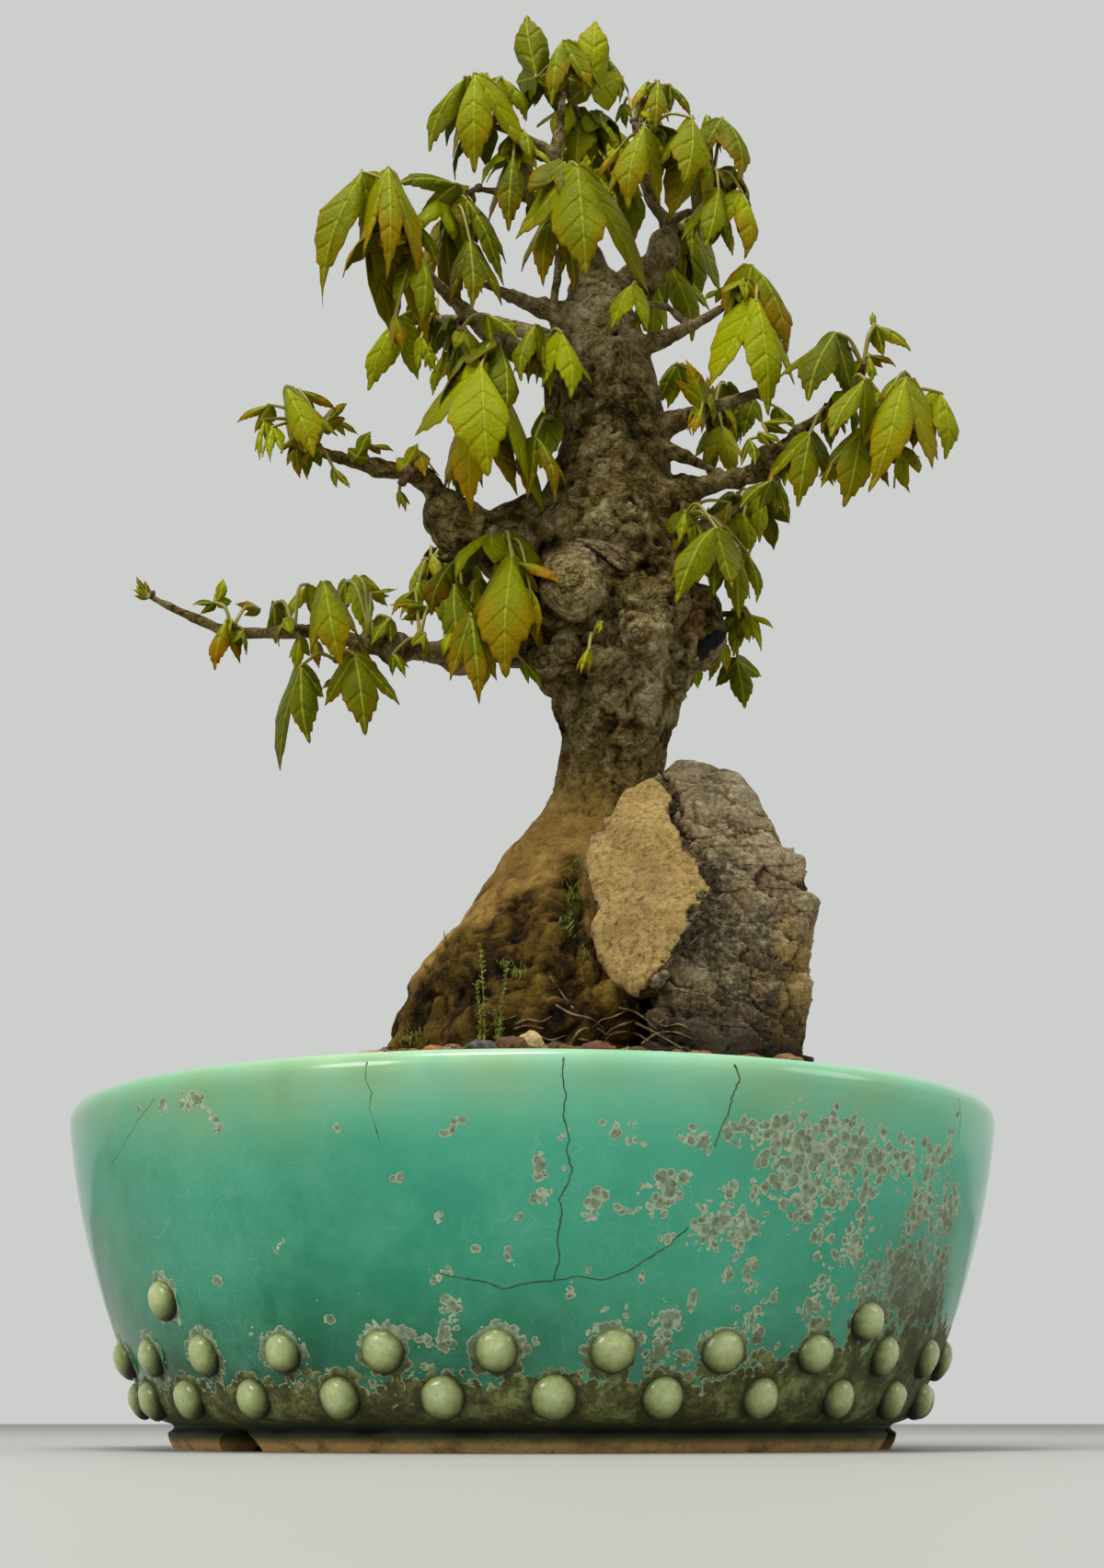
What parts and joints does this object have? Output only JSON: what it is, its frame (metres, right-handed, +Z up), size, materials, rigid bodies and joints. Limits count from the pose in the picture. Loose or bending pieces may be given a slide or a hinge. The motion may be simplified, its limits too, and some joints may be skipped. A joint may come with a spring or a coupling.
{
  "type": "potted bonsai tree",
  "caption": "Small old trident maple trained as a bonsai, its flared roots beside a tan rock, in a round turquoise-glazed pot with rows of low studs above its foot.",
  "frame": {"origin": "middle of the pot's foot, on the surface that the pot stands on", "axes": "+Z up along the tree, +X to the viewer's right and -Y towards the viewer, as the tree's front is seen"},
  "size_m": [0.2208, 0.2208, 0.3865],
  "materials": {
    "glaze": "gloss",
    "screen": "matte",
    "bark": "matte",
    "rock": "matte",
    "soil": "matte",
    "leaf": "satin",
    "moss": "matte",
    "pebble_pale": "matte",
    "pebble_orange": "matte",
    "pebble_grey": "matte",
    "pebble_tan": "matte",
    "pebble_red": "matte",
    "pebble_rust": "matte"
  },
  "bodies": {
    "root": {"pot": "glaze", "drain_screen": "screen", "tree": "bark", "rock": "rock", "pebble_pale": "pebble_pale", "pebble_orange": "pebble_orange", "pebble_grey": "pebble_grey", "pebble_tan": "pebble_tan", "pebble_red": "pebble_red", "pebble_rust": "pebble_rust", "moss_sprig_tall": "moss", "moss_sprig_short": "moss", "soil": "soil", "leaves_crown": "leaf", "leaves_top_left_tip": "leaf", "leaves_top_left_under": "leaf", "leaves_front_top": "leaf", "leaves_top_right": "leaf", "leaves_top_right_tip": "leaf", "leaves_right_high_back": "leaf", "leaves_trunk_top_right": "leaf", "leaves_upper_left": "leaf", "leaves_upper_left_tip": "leaf", "leaves_upper_left_back": "leaf", "leaves_left_hanging": "leaf", "leaves_trunk_top_front": "leaf", "leaves_big_front_left": "leaf", "leaves_trunk_left_high": "leaf", "leaves_mid_left_tip": "leaf", "leaves_mid_left_inner": "leaf", "leaves_mid_left_elbow": "leaf", "leaves_low_left_tip": "leaf", "leaves_low_left_outer": "leaf", "leaves_low_left_middle": "leaf", "leaves_low_left_front": "leaf", "leaves_low_left_hanging": "leaf", "leaves_low_left_upper": "leaf", "leaves_low_mid_left": "leaf", "leaves_low_mid_right": "leaf", "leaves_trunk_left_front": "leaf", "leaves_trunk_burl": "leaf", "leaves_right_high": "leaf", "leaves_right_young": "leaf", "leaves_right_back": "leaf", "leaves_right_inner": "leaf", "leaves_right_under": "leaf", "leaves_right_fork": "leaf", "leaves_right_end": "leaf", "leaves_right_end_under": "leaf", "leaves_low_right_front": "leaf", "leaves_low_right_side": "leaf", "leaves_trunk_back_right": "leaf", "leaves_right_back_low": "leaf", "leaves_left_back_low": "leaf", "leaves_back_high": "leaf", "leaves_back_middle": "leaf"}
  },
  "joints": []
}
